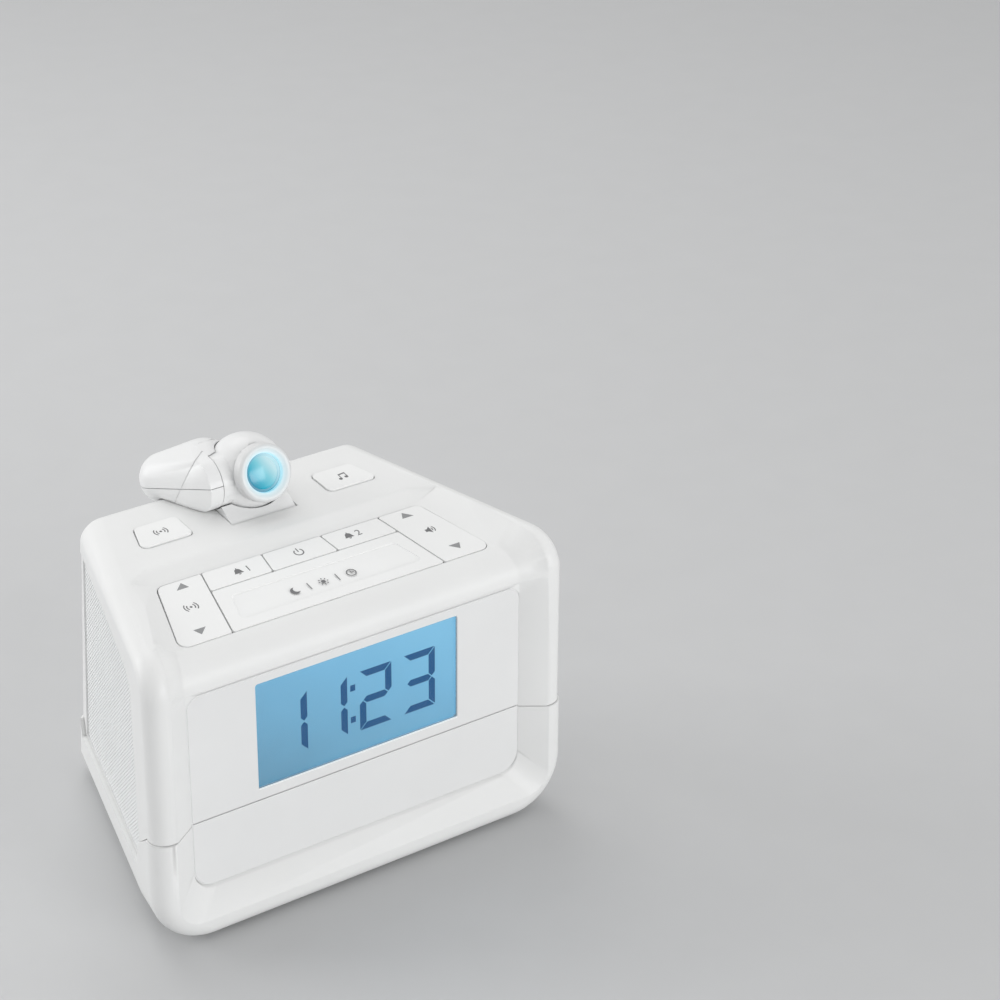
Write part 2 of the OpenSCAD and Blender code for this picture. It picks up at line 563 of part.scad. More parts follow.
module snooze_key() pad_key([[-split_a(pad_y0) + g2, pad_y0 + gap], [split_a(pad_y0) - g2, pad_y0 + gap],
  [split_a(row_y) - g2, row_y - g2], [-split_a(row_y) + g2, row_y - g2]], 0, 21);
module deck_key(s) up() color(white) {
  deck_slab(deck_key_pts(s, -gap), 2.2, -key_t, 0.4);
  deck_slab([[s * (stem_x - 3.5), deck_mid - 4], [s * (stem_x + 3.5), deck_mid - 4],
    [s * (stem_x + 3.5), deck_mid + 4], [s * (stem_x - 3.5), deck_mid + 4]], 0.8, -7, -key_t / 2);
}
module radio_key() deck_key(-1);
module sounds_key() deck_key(1);

// Projector
base_x = bay_w / 2 - gap;
base_top = 3.4;
arm_end = [-20, axis_y + 20.5, axis_z - 5];
arm_mid = [-9.4, axis_y + 10.5, axis_z - 1.9];
collar_x = head_x - head_r - 0.6;
// Radius of the round shoulder between the head and the arm
shoulder_r = neck_d / 2 + 3.1;
seam_tilt = 16;
base_z = deck_z(bay_y) - bay_depth;
base_lid = deck_z(bay_y) + base_top;
base_pts = [[bay_y + gap, base_z + 0.02], [back_at(base_z) - 1, base_z + 0.02],
  [back_at(deck_z(top_y)) - 3, deck_z(top_y) - 1.5], [top_y - 4.5, base_lid],
  [bay_y + 8, base_lid], [bay_y + gap, deck_z(bay_y) - 1.2]];
module projector_base() up() color(white) difference() {
  prism_x(base_pts, base_x);
  translate([head_x, axis_y, axis_z]) sphere(head_r + 0.6, $fn = 64);
  turn_x(collar_x - 1, head_x, axis_y, axis_z, shoulder_r + 0.6, 64);
}
module arm_form(t) hull() {
  turn_x(collar_x - 5, collar_x - (t > 0 ? 2.5 : 0), axis_y, axis_z, shoulder_r + 0.2 - t, 36);
  ball(arm_mid, 12.6 - t, 24);
  ball(arm_end, 9.4 - t, 24);
}
module arm_half(top) up() color(white) difference() {
  arm_form(0);
  difference() {
    arm_form(1.6);
    turn_x(collar_x, 40, axis_y, axis_z, head_r + gap + 1.6, 64);
  }
  turn_x(collar_x, 40, axis_y, axis_z, head_r + gap, 64);
  translate([0, axis_y, axis_z - 0.6]) rotate([-seam_tilt, 0, 0])
    translate([-80, -60, top ? -60 + 0.01 : -0.01]) cube([160, 120, 60]);
  // kept clear of the deck, the base and the back
  body_form(-gap);
  rotate([90, 0, 90]) linear_extrude(height = 2 * base_x + 0.04, center = true)
    offset(delta = 0.02) polygon(base_pts);
  turn_x(collar_x - 6, collar_x + 20, axis_y, axis_z, neck_d / 2 + run_fit, 64);
}
module arm_lower() arm_half(false);
module arm_upper() arm_half(true);
module on_head() translate([head_x, axis_y, axis_z]) rotate([90 - lens_up, 0, 0]) children();
module head_shell() up() color(white) difference() {
  union() {
    translate([head_x, axis_y, axis_z]) sphere(head_r, $fn = 48);
    turn_x(collar_x + gap, head_x, axis_y, axis_z, shoulder_r, 64);
    on_head() cylinder(h = ring_reach - 5.5, d = ring_d - 1, $fn = 64);
    turn_x(collar_x - 4.9, head_x - 8, axis_y, axis_z, neck_d / 2, 64);
    turn_x(collar_x - 4.9, collar_x - 2.9, axis_y, axis_z, neck_d / 2 + 1.2, 64);
  }
  translate([head_x, axis_y, axis_z]) sphere(head_r - 1.8, $fn = 28);
  turn_x(collar_x + gap + 1.8, head_x, axis_y, axis_z, shoulder_r - 1.8, 40);
  on_head() {
    cylinder(h = 40, d = ring_d - 4.2, $fn = 64);
    translate([0, 0, ring_reach - 5 - gap]) cylinder(h = 20, d = 2 * head_r + 8, $fn = 64);
  }
  turn_x(collar_x - 10, head_x, axis_y, axis_z, neck_d / 2 - 1.6, 40);
}
module focus_ring() up() color(white) on_head() difference() {
  union() {
    translate([0, 0, ring_reach - 5]) cylinder(h = 4, d = ring_d, $fn = 64);
    translate([0, 0, ring_reach - 1]) cylinder(h = 1, d1 = ring_d, d2 = ring_d - 1.6, $fn = 64);
    translate([0, 0, ring_reach - 9]) cylinder(h = 5, d = ring_d - 4.2 - 2 * run_fit, $fn = 64);
  }
  translate([0, 0, ring_reach - 10]) cylinder(h = 12, d = lens_d + 0.6, $fn = 64);
  translate([0, 0, ring_reach - 1.2]) cylinder(h = 1.3, d1 = lens_d + 0.6, d2 = lens_d + 4, $fn = 64);
}
module lens_carrier() up() color([0.15, 0.15, 0.16]) on_head() translate([0, 0, ring_reach - 8]) difference() {
  cylinder(h = 5.4, d = lens_d + 0.6 - 2 * run_fit, $fn = 64);
  translate([0, 0, -1]) cylinder(h = 8, d = lens_d - 3, $fn = 48);
  translate([0, 0, 2]) cylinder(h = 8, d = lens_d - 1.6, $fn = 48);
}
module projector_lens() up() color([0.6, 0.85, 0.95, 0.5]) on_head()
  translate([0, 0, ring_reach - 6]) intersection() {
    cylinder(h = 4, d = lens_d - 1.6, $fn = 48);
    translate([0, 0, 3.6 - 22]) sphere(22, $fn = 96);
  }
module lamp_module() up() color(grey) on_head() {
  translate([0, 0, -4]) cylinder(h = 5, d = 9, $fn = 32);
  translate([0, 0, -9]) cylinder(h = 5, d = 13, $fn = 32);
}
module dc_jack() up() color([0.1, 0.1, 0.1]) back_place(jack_x, jack_z) difference() {
  translate([0, 0, -12]) union() {
    cylinder(h = 12, d = 9, $fn = 28);
    cylinder(h = 12 - wall - 0.02, d = 12, $fn = 28);
  }
  translate([0, 0, -9]) difference() {
    cylinder(h = 10, d = jack_d, $fn = 28);
    cylinder(h = 8, d = 2, $fn = 16);
  }
}
module battery_door() up() color(white) difference() {
  union() {
    bar(-door_l / 2, door_l / 2, door_hinge_y, door_y + door_w / 2, 0.2, door_t + 0.2);
    turn_x(-door_l / 2, door_l / 2, door_hinge_y, door_hinge_z, door_t / 2, 24);
    turn_x(-door_l / 2 - 2.2, door_l / 2 + 2.2, door_hinge_y, door_hinge_z, door_pin_r, 24);
  }
  // finger notch
  turn_x(-7, 7, door_y + door_w / 2, -0.4, 2, 24);
}
module deck_switch(s) up() color([0.12, 0.42, 0.26]) {
  difference() {
    bar(s * stem_x - 6, s * stem_x + 6, deck_mid - 12, deck_mid + 12,
      deck_z(deck_mid) - 12.6, deck_z(deck_mid) - 11);
    for (y = [-10, 10]) translate([s * stem_x, deck_mid + y, 80])
      cylinder(h = 60, d = 3.1, $fn = 16);
  }
  bar(s * stem_x - 3, s * stem_x + 3, deck_mid - 3, deck_mid + 3,
    deck_z(deck_mid) - 11.02, deck_z(deck_mid) - 8.2);
}
module radio_switch() deck_switch(-1);
module sounds_switch() deck_switch(1);
module contact(s) up() color([0.8, 0.8, 0.78]) {
  translate([s * (door_l / 2 - 0.02), door_y, 11]) rotate([0, -s * 90, 0]) {
    translate([-5, -8, 0]) cube([10, 16, 0.5]);
    cylinder(h = 3.5, d1 = 7, d2 = 4, $fn = 20);
  }
}
module contact_left() contact(-1);
module contact_right() contact(1);
module foot(s, e) up() color([0.25, 0.25, 0.26]) foot_place(s, e) translate([0, 0, -foot_h])
  cylinder(h = foot_h + 1, d1 = 9, d2 = 10, $fn = 28);
module foot_front_left() foot(-1, 0);
module foot_front_right() foot(1, 0);
module foot_back_left() foot(-1, 1);
module foot_back_right() foot(1, 1);
module screw(i) up() color(grey) translate([post_xy[i][0], post_xy[i][1], 0]) difference() {
  union() {
    translate([0, 0, screw_seat - 2.2]) cylinder(h = 2.2, d = 6, $fn = 24);
    translate([0, 0, screw_seat - 0.1]) cylinder(h = post_top - screw_seat + 11, d = 2.6, $fn = 16);
  }
  for (a = [0, 90]) translate([0, 0, screw_seat - 1.6]) rotate([0, 0, a])
    cube([3.6, 0.9, 1.4], center = true);
}
module screw_1() screw(0);
module screw_2() screw(1);
module screw_3() screw(2);
module screw_4() screw(3);

lower_casing();
upper_casing();
display_plate();
lower_fascia();
display_window();
lcd_panel();
backlight();
side_panel_left();
side_panel_right();
speaker_frame();
speaker_cone();
speaker_magnet();
main_board();
key_board();
tuner_key();
alarm_1_key();
power_key();
alarm_2_key();
volume_key();
snooze_key();
radio_key();
sounds_key();
projector_base();
arm_lower();
arm_upper();
head_shell();
focus_ring();
lens_carrier();
projector_lens();
lamp_module();
dc_jack();
radio_switch();
sounds_switch();
battery_door();
contact_left();
contact_right();
foot_front_left();
foot_front_right();
foot_back_left();
foot_back_right();
screw_1();
screw_2();
screw_3();
screw_4();
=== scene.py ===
import math
import bpy
from mathutils import Matrix, Vector


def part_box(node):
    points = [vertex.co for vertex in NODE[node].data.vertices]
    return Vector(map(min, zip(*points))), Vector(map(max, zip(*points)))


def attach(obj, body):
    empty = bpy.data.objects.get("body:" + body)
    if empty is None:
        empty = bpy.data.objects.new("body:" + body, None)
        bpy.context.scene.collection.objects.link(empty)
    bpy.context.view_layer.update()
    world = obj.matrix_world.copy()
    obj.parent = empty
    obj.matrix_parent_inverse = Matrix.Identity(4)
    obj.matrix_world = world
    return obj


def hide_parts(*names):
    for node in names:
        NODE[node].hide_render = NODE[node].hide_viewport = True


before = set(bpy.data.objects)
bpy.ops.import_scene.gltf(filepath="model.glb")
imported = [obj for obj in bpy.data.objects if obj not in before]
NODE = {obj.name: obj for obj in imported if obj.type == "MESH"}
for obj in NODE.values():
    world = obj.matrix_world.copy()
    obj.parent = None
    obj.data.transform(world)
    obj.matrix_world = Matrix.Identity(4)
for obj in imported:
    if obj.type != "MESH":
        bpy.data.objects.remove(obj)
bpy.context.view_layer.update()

MM = 0.001

# Sizes of the clock in millimetres, from the display plate's face and the casing's foot
MID_Y, FOOT_H = 56.7, 1.6
BODY_D, FRAME_D, PLATE_T = 126, 5.8, 2.2
BACK_LEAN, BACK_EDGE_R = 30, 4
TAPER, PAD_TILT, DECK_RISE = math.radians(16.2), math.radians(9), math.radians(3.8)
CREST_H, PAD_Y, PAD_H = 113.4, 25, 109.5
BAND_Y, BAND_STEP = 16.5, 5
SEAM_FRONT, SEAM_DROP, SEAM_MID, SEAM_LOW, SEAM_BACK = 44.2, 11, 21.5, 17.7, 24.2
WIN_W, WIN_H, WIN_Z = 82.4, 41.9, 49.1
HEAD = (1.6, 75.5, 127.9)
LENS_UP = math.radians(20)
LENS_WAY = Vector((0, -math.cos(LENS_UP), math.sin(LENS_UP)))


def at(x, y, z):
    """A place given in casing millimetres, as metres in the frame."""
    return Vector((x, y - MID_Y, z + FOOT_H)) * MM


def pad_z(y):
    """Height of the key pad at a depth."""
    return PAD_H + math.tan(PAD_TILT) * (y - PAD_Y)


def deck_z(y):
    """Height of the deck at a depth."""
    return CREST_H + math.tan(DECK_RISE) * y


def back_at(z):
    """Depth of the leaning back at a height."""
    top_y = BODY_D - FRAME_D - BACK_LEAN
    return BODY_D - FRAME_D - BACK_LEAN * z / deck_z(top_y)


# The line between the two casings as depth and height, from before the front to past the back
PANEL_END = back_at(SEAM_LOW) - 1.4 * BACK_EDGE_R
SPLIT = [(-40, SEAM_FRONT), (PLATE_T, SEAM_FRONT), (BAND_Y, SEAM_FRONT - SEAM_DROP),
         (BAND_Y + BAND_STEP, SEAM_MID), (PANEL_END, SEAM_LOW), (PANEL_END + 2.2, SEAM_BACK),
         (250, SEAM_BACK)]


def split_z(y):
    """Height of the line between the two casings at a depth."""
    for (y0, z0), (y1, z1) in zip(SPLIT, SPLIT[1:]):
        if y <= y1:
            return z0 + (z1 - z0) * (y - y0) / (y1 - y0)
    return SEAM_BACK


# ---------------------------------------------------------------- camera
CAM_LENS, CAM_SENSOR, CAM_NEAR = 100.8, 36, 0.05
CAM_PLACE = (-0.44235, -0.75884, 0.58339)
CAM_RIGHT, CAM_UP = Vector((0.8157, -0.5784, 0.0067)), Vector((0.2628, 0.3808, 0.8865))


def aim_camera():
    """Looks down on the clock from its front left."""
    data = bpy.data.cameras.new("bedside_view")
    data.lens, data.sensor_width, data.clip_start = CAM_LENS, CAM_SENSOR, CAM_NEAR
    cam = bpy.data.objects.new("bedside_view", data)
    bpy.context.scene.collection.objects.link(cam)
    right = CAM_RIGHT.normalized()
    back = right.cross(CAM_UP).normalized()
    up = back.cross(right).normalized()
    rows = [(right[i], up[i], back[i], CAM_PLACE[i]) for i in range(3)]
    cam.matrix_world = Matrix(rows + [(0, 0, 0, 1)])
    bpy.context.scene.camera = cam


aim_camera()


# ---------------------------------------------------------------- finishes
def node(nt, kind, **inputs):
    """Adds a shader node and sets its named inputs."""
    n = nt.nodes.new("ShaderNode" + kind)
    for name, value in inputs.items():
        n.inputs[name.replace("_", " ")].default_value = value
    return n


def vector_step(nt, operation, source, fixed=None):
    """Adds a vector operation on a source, with a fixed second vector where it has one."""
    n = nt.nodes.new("ShaderNodeVectorMath")
    n.operation = operation
    nt.links.new(source, n.inputs[0])
    if fixed is not None:
        n.inputs[1].default_value = fixed
    return n


def new_finish(name):
    """A new material, its tree, its shader and the object's own coordinates."""
    mat = bpy.data.materials.new(name)
    mat.use_nodes = True
    nt = mat.node_tree
    where = nt.nodes.new("ShaderNodeTexCoord").outputs["Object"]
    return mat, nt, nt.nodes["Principled BSDF"], where


def ramp_of(nt, source, stops):
    """Colours along a value, from stops of place and colour."""
    ramp = nt.nodes.new("ShaderNodeValToRGB")
    while len(ramp.color_ramp.elements) < len(stops):
        ramp.color_ramp.elements.new(0.5)
    for element, (place, color) in zip(ramp.color_ramp.elements, stops):
        element.position = place
        element.color = (*color, 1)
    nt.links.new(source, ramp.inputs["Fac"])
    return ramp.outputs["Color"]


def finish(name, color, rough, metal=0.0, coat=0.0, grain=900.0, grain_depth=0.01,
           tone=0.012, blotch=45.0, rough_var=0.02, specular=0.5, round_edge=0.0):
    """Moulded finish: a little colour drift, a fine skin and a roughness that wanders."""
    mat, nt, bsdf, where = new_finish(name)
    drift = node(nt, "TexNoise", Scale=blotch, Detail=3)
    nt.links.new(where, drift.inputs["Vector"])
    low = [max(0, c * (1 - tone)) for c in color]
    high = [min(1, c * (1 + tone * 0.5)) for c in color]
    shade = ramp_of(nt, drift.outputs["Fac"], [(0.3, low), (0.7, high)])
    nt.links.new(shade, bsdf.inputs["Base Color"])
    span = node(nt, "MapRange", To_Min=max(0.02, rough - rough_var), To_Max=rough + rough_var)
    nt.links.new(drift.outputs["Fac"], span.inputs["Value"])
    nt.links.new(span.outputs["Result"], bsdf.inputs["Roughness"])
    skin = node(nt, "TexNoise", Scale=grain, Detail=4)
    nt.links.new(where, skin.inputs["Vector"])
    bump = node(nt, "Bump", Strength=0.3, Distance=grain_depth * MM)
    nt.links.new(skin.outputs["Fac"], bump.inputs["Height"])
    if round_edge:
        soft = node(nt, "Bevel", Radius=round_edge * MM)
        soft.samples = 6
        nt.links.new(soft.outputs["Normal"], bump.inputs["Normal"])
    nt.links.new(bump.outputs["Normal"], bsdf.inputs["Normal"])
    bsdf.inputs["Metallic"].default_value = metal
    bsdf.inputs["Specular IOR Level"].default_value = specular
    bsdf.inputs["Coat Weight"].default_value = coat
    bsdf.inputs["Coat Roughness"].default_value = 0.1
    return mat


def lit_finish(name, way, start, end, stops, base=(0.02, 0.05, 0.07), rough=0.25,
               strength=1.0, coat=0.0):
    """Glowing colour that runs along a way, between two distances in metres; used for parts lit
    from within and for painted glows.
    """
    mat, nt, bsdf, where = new_finish(name)
    along = vector_step(nt, "DOT_PRODUCT", where, way)
    cloud = node(nt, "TexNoise", Scale=70, Detail=2)
    nt.links.new(where, cloud.inputs["Vector"])
    span = node(nt, "MapRange", From_Min=start, From_Max=end)
    nt.links.new(along.outputs["Value"], span.inputs["Value"])
    sway = nt.nodes.new("ShaderNodeMath")
    sway.operation = "MULTIPLY_ADD"
    nt.links.new(cloud.outputs["Fac"], sway.inputs[0])
    sway.inputs[1].default_value = 0.16
    nt.links.new(span.outputs["Result"], sway.inputs[2])
    glow = ramp_of(nt, sway.outputs["Value"], stops)
    nt.links.new(glow, bsdf.inputs["Emission Color"])
    bsdf.inputs["Emission Strength"].default_value = strength
    bsdf.inputs["Base Color"].default_value = (*base, 1)
    bsdf.inputs["Roughness"].default_value = rough
    bsdf.inputs["Coat Weight"].default_value = coat
    return mat


def ring_painted_glow_finish(name):
    """White moulding with the lens's light round its mouth painted on as a glow."""
    mat = finish(name, (0.74, 0.745, 0.745), 0.34, coat=0.1, grain=800, specular=0.4)
    nt = mat.node_tree
    bsdf = nt.nodes["Principled BSDF"]
    where = nt.nodes.new("ShaderNodeTexCoord").outputs["Object"]
    off = vector_step(nt, "SUBTRACT", where, at(*HEAD))
    side = vector_step(nt, "CROSS_PRODUCT", off.outputs["Vector"], LENS_WAY)
    far = vector_step(nt, "LENGTH", side.outputs["Vector"])
    span = node(nt, "MapRange", From_Min=6.6 * MM, From_Max=10.4 * MM)
    nt.links.new(far.outputs["Value"], span.inputs["Value"])
    # Painted glow: cyan at the mouth, fading to nothing a few millimetres out.
    glow = ramp_of(nt, span.outputs["Result"], [
        (0.0, (0.10, 0.42, 0.55)), (0.25, (0.10, 0.22, 0.26)),
        (0.7, (0.02, 0.05, 0.06)), (1.0, (0, 0, 0))])
    nt.links.new(glow, bsdf.inputs["Emission Color"])
    bsdf.inputs["Emission Strength"].default_value = 1.0
    return mat


def sill_painted_glow_finish(name):
    """White moulding with a faint even painted glow that brightens it."""
    mat = finish(name, (0.93, 0.93, 0.92), 0.4, grain=1300)
    bsdf = mat.node_tree.nodes["Principled BSDF"]
    # Painted light: a faint bluish glow on the sill.
    bsdf.inputs["Emission Color"].default_value = (0.8, 0.9, 1.0, 1)
    bsdf.inputs["Emission Strength"].default_value = 0.12
    return mat


def clear_finish(name):
    """Clear sheet with a slight haze."""
    mat, nt, bsdf, where = new_finish(name)
    haze = node(nt, "TexNoise", Scale=120, Detail=2)
    nt.links.new(where, haze.inputs["Vector"])
    span = node(nt, "MapRange", To_Min=0.01, To_Max=0.03)
    nt.links.new(haze.outputs["Fac"], span.inputs["Value"])
    nt.links.new(span.outputs["Result"], bsdf.inputs["Roughness"])
    bsdf.inputs["Base Color"].default_value = (1, 1, 1, 1)
    bsdf.inputs["Transmission Weight"].default_value = 1
    bsdf.inputs["IOR"].default_value = 1.2
    bsdf.inputs["Specular IOR Level"].default_value = 0.15
    return mat


casing_white = finish("casing_white", (0.85, 0.855, 0.85), 0.42, coat=0.06, grain=700,
                      specular=0.35, round_edge=0.5)
plate_white = finish("plate_white", (0.82, 0.825, 0.825), 0.38, grain=1100, specular=0.4)
key_white = finish("key_white", (0.9, 0.905, 0.9), 0.4, grain=1300, specular=0.4)
sill_white_painted_glow = sill_painted_glow_finish("sill_white_painted_glow")
panel_white = finish("panel_white", (0.88, 0.89, 0.89), 0.45, grain=1500, grain_depth=0.015,
                     specular=0.35)
projector_white = finish("projector_white", (0.86, 0.865, 0.865), 0.36, coat=0.08, grain=800,
                         specular=0.4)
ring_white_painted_glow = ring_painted_glow_finish("ring_white_painted_glow")
black_plastic = finish("black_plastic", (0.02, 0.02, 0.022), 0.42, tone=0.3, grain=1200,
                       grain_depth=0.02)
rubber = finish("foot_rubber", (0.045, 0.045, 0.048), 0.75, tone=0.25, grain=2200,
                grain_depth=0.05, specular=0.3)
board_green = finish("board_green", (0.02, 0.16, 0.07), 0.45, tone=0.35, blotch=220)
steel = finish("screw_steel", (0.55, 0.55, 0.56), 0.32, metal=1.0, tone=0.2, grain=2600)
spring_tin = finish("contact_tin", (0.72, 0.72, 0.7), 0.25, metal=1.0, tone=0.12, grain=2600)
cone_paper = finish("cone_paper", (0.03, 0.03, 0.033), 0.8, tone=0.4, grain=1800,
                    grain_depth=0.06, specular=0.2)
milky = finish("backlight_milk", (0.75, 0.85, 0.9), 0.5, tone=0.03)
mark_grey = finish("mark_grey", (0.17, 0.17, 0.175), 0.5, tone=0.1)
arrow_grey = finish("arrow_grey", (0.30, 0.305, 0.31), 0.5, tone=0.1)
window_clear = clear_finish("window_clear")

# The display grows lighter toward its upper right corner
SCREEN_WAY = Vector((0.45, 0, 0.89))
SCREEN_MID = at(0, PLATE_T, WIN_Z + WIN_H / 2).dot(SCREEN_WAY)
SCREEN_DARK, SCREEN_LIGHT = SCREEN_MID - 0.038, SCREEN_MID + 0.034
lcd_blue = lit_finish("lcd_blue", SCREEN_WAY, SCREEN_DARK, SCREEN_LIGHT, [
    (0.0, (0.115, 0.27, 0.40)), (0.4, (0.16, 0.40, 0.60)),
    (0.75, (0.19, 0.49, 0.74)), (1.0, (0.225, 0.56, 0.82))], strength=0.84)
figure_blue = lit_finish("figure_blue", SCREEN_WAY, SCREEN_DARK, SCREEN_LIGHT,
                         [(0.0, (0.004, 0.11, 0.30)), (1.0, (0.006, 0.13, 0.36))],
                         base=(0.004, 0.012, 0.03), rough=0.6, strength=0.6)

# The lens glows from within and grows lighter toward the right and down its face; the pale far end
# of that run is a painted highlight
LENS_HIGH = LENS_WAY.cross(Vector((-1, 0, 0)))
LENS_RUN = (Vector((0.9, 0, 0)) - LENS_HIGH * 0.5).normalized()
LENS_MID = at(*HEAD).dot(LENS_RUN)
lens_blue = lit_finish("lens_blue", LENS_RUN, LENS_MID - 0.0062, LENS_MID + 0.0056, [
    (0.05, (0.0, 0.21, 0.36)), (0.35, (0.02, 0.42, 0.56)),
    (0.65, (0.20, 0.62, 0.72)), (1.0, (0.60, 0.84, 0.88))], rough=0.22, coat=0.12, strength=0.86)
# The black carrier round the lens has the lens's light painted on it as a glow, dark blue to pale
# cyan.
carrier_painted_glow = lit_finish("carrier_painted_glow", LENS_RUN, LENS_MID - 0.007, LENS_MID + 0.007, [
    (0.0, (0.01, 0.16, 0.28)), (0.5, (0.05, 0.36, 0.50)), (1.0, (0.5, 0.8, 0.88))],
    rough=0.3, strength=0.8)

FINISHES = {
    "upper_casing": casing_white, "lower_casing": casing_white, "battery_door": casing_white,
    "display_plate": plate_white, "lower_fascia": plate_white,
    "side_panel_left": panel_white, "side_panel_right": panel_white,
    "projector_base": projector_white, "arm_lower": projector_white,
    "arm_upper": projector_white, "head_shell": projector_white,
    "focus_ring": ring_white_painted_glow, "lens_carrier": carrier_painted_glow, "projector_lens": lens_blue,
    "lamp_module": steel, "dc_jack": black_plastic,
    "display_window": window_clear, "lcd_panel": lcd_blue, "backlight": milky,
    "contact_left": spring_tin, "contact_right": spring_tin,
    "speaker_frame": black_plastic, "speaker_cone": cone_paper, "speaker_magnet": steel,
    "main_board": board_green, "key_board": board_green,
    "radio_switch": board_green, "sounds_switch": board_green}
BY_KIND = (("foot_", rubber), ("screw_", steel), ("_key", key_white))
for name, ob in NODE.items():
    mat = FINISHES.get(name) or next(m for kind, m in BY_KIND if kind in name)
    ob.data.materials.clear()
    ob.data.materials.append(mat)


# ---------------------------------------------------------------- workshop
SMOOTH = 35


def pick(ob):
    """Selects one piece alone and makes it the active one."""
    bpy.ops.object.select_all(action="DESELECT")
    ob.select_set(True)
    bpy.context.view_layer.objects.active = ob


def edit(ob, how="SELECT"):
    """Opens a piece in edit mode with all of it selected, or nothing."""
    pick(ob)
    bpy.ops.object.mode_set(mode="EDIT")
    bpy.ops.mesh.select_mode(type="VERT")
    bpy.ops.mesh.select_all(action=how)


def close():
    """Leaves edit mode."""
    bpy.ops.object.mode_set(mode="OBJECT")


def edit_where(ob, test):
    """Opens a piece in edit mode with those corners selected whose place passes a test."""
    edit(ob, "DESELECT")
    close()
    for v in ob.data.vertices:
        v.select = test(v.co)
    bpy.ops.object.mode_set(mode="EDIT")


def modify(ob, kind, **values):
    """Gives a piece a modifier and applies it."""
    pick(ob)
    mod = ob.modifiers.new(kind.lower(), kind)
    for key, value in values.items():
        setattr(mod, key, value)
    bpy.ops.object.modifier_apply(modifier=mod.name)


def cut(ob, tool, how="DIFFERENCE"):
    """Takes a tool's shape out of a piece, or keeps only what lies in it; the tool is used up."""
    modify(ob, "BOOLEAN", object=tool, operation=how)
    bpy.data.objects.remove(tool)


def soften(ob, width, segments=3, angle=SMOOTH):
    """Rounds the edges and smooths the shading, with flat faces kept flat."""
    if width:
        modify(ob, "BEVEL", width=width * MM, segments=segments, limit_method="ANGLE",
               angle_limit=math.radians(angle), miter_outer="MITER_ARC", use_clamp_overlap=True)
    pick(ob)
    bpy.ops.object.shade_smooth_by_angle(angle=math.radians(angle), keep_sharp_edges=False)
    modify(ob, "WEIGHTED_NORMAL", keep_sharp=True, weight=60)


def clothe(ob, name, mat, body, slot, *nodes):
    """Names a finished piece, gives it its finish and hangs it on its body."""
    ob.name = name
    ob.data.name = name
    ob.data.materials.clear()
    ob.data.materials.append(mat)
    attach(ob, body)
    if nodes:
        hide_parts(*nodes)
    return ob


def copy_of(name, flat=0.6):
    """A merged copy of a CAD node, with its flat faces made whole."""
    ob = bpy.data.objects.new(name + "_form", NODE[name].data.copy())
    bpy.context.scene.collection.objects.link(ob)
    edit(ob)
    bpy.ops.mesh.remove_doubles(threshold=0.004 * MM)
    if flat:
        bpy.ops.mesh.dissolve_limited(angle_limit=math.radians(flat))
    close()
    return ob


def fixed():
    """The active piece, with its place, turn and size put into its mesh."""
    bpy.ops.object.transform_apply(location=True, rotation=True, scale=True)
    return bpy.context.object


def settle(ob, matrix):
    """Puts a piece made at the origin in its place, in its mesh."""
    ob.data.transform(matrix)
    ob.data.update()
    return ob


def join(parts):
    """Makes one piece of several."""
    bpy.ops.object.select_all(action="DESELECT")
    for p in parts:
        p.select_set(True)
    bpy.context.view_layer.objects.active = parts[0]
    if len(parts) > 1:
        bpy.ops.object.join()
    return bpy.context.object


def box(x0, x1, y0, y1, z0, z1):
    """A block between casing places, open for shaping."""
    lo, hi = at(x0, y0, z0), at(x1, y1, z1)
    bpy.ops.object.select_all(action="DESELECT")
    bpy.ops.mesh.primitive_cube_add(size=1, location=(lo + hi) / 2)
    bpy.context.object.scale = hi - lo
    return fixed()


def slab(x0, x1, y0, y1):
    """A flat rectangle between two corners, in millimetres, lying at the origin's height."""
    middle = ((x0 + x1) / 2 * MM, (y0 + y1) / 2 * MM, 0)
    bpy.ops.object.select_all(action="DESELECT")
    bpy.ops.mesh.primitive_plane_add(size=1, location=middle)
    bpy.context.object.scale = ((x1 - x0) * MM, (y1 - y0) * MM, 1)
    return fixed()


def stroke(x0, y0, x1, y1, width):
    """A straight flat line between two points."""
    middle = ((x0 + x1) / 2 * MM, (y0 + y1) / 2 * MM, 0)
    bpy.ops.object.select_all(action="DESELECT")
    bpy.ops.mesh.primitive_plane_add(size=1, location=middle,
                                     rotation=(0, 0, math.atan2(y1 - y0, x1 - x0)))
    bpy.context.object.scale = (math.hypot(x1 - x0, y1 - y0) * MM, width * MM, 1)
    return fixed()


def disc(x, y, radius, corners=24, turn=0.0):
    """A flat disc, or with few corners a flat regular figure."""
    bpy.ops.object.select_all(action="DESELECT")
    bpy.ops.mesh.primitive_circle_add(vertices=corners, radius=radius * MM, fill_type="NGON",
                                      location=(x * MM, y * MM, 0),
                                      rotation=(0, 0, math.radians(turn)))
    return fixed()


def hoop(x, y, radius, width, keep=180.0, middle=0.0):
    """A flat ring, of which the part within `keep` degrees on each side of `middle` stays."""
    ob = disc(x, y, radius + width / 2, 48)
    edit(ob)
    bpy.ops.mesh.select_mode(type="FACE")
    bpy.ops.mesh.inset(thickness=width * MM)
    bpy.ops.mesh.delete(type="FACE")
    bpy.ops.mesh.select_all(action="DESELECT")
    close()
    for face in ob.data.polygons:
        c = face.center / MM
        away = (math.degrees(math.atan2(c.y - y, c.x - x)) - middle + 180) % 360 - 180
        face.select = abs(away) > keep
    if keep < 180:
        bpy.ops.object.mode_set(mode="EDIT")
        bpy.ops.mesh.delete(type="FACE")
        close()
    return ob


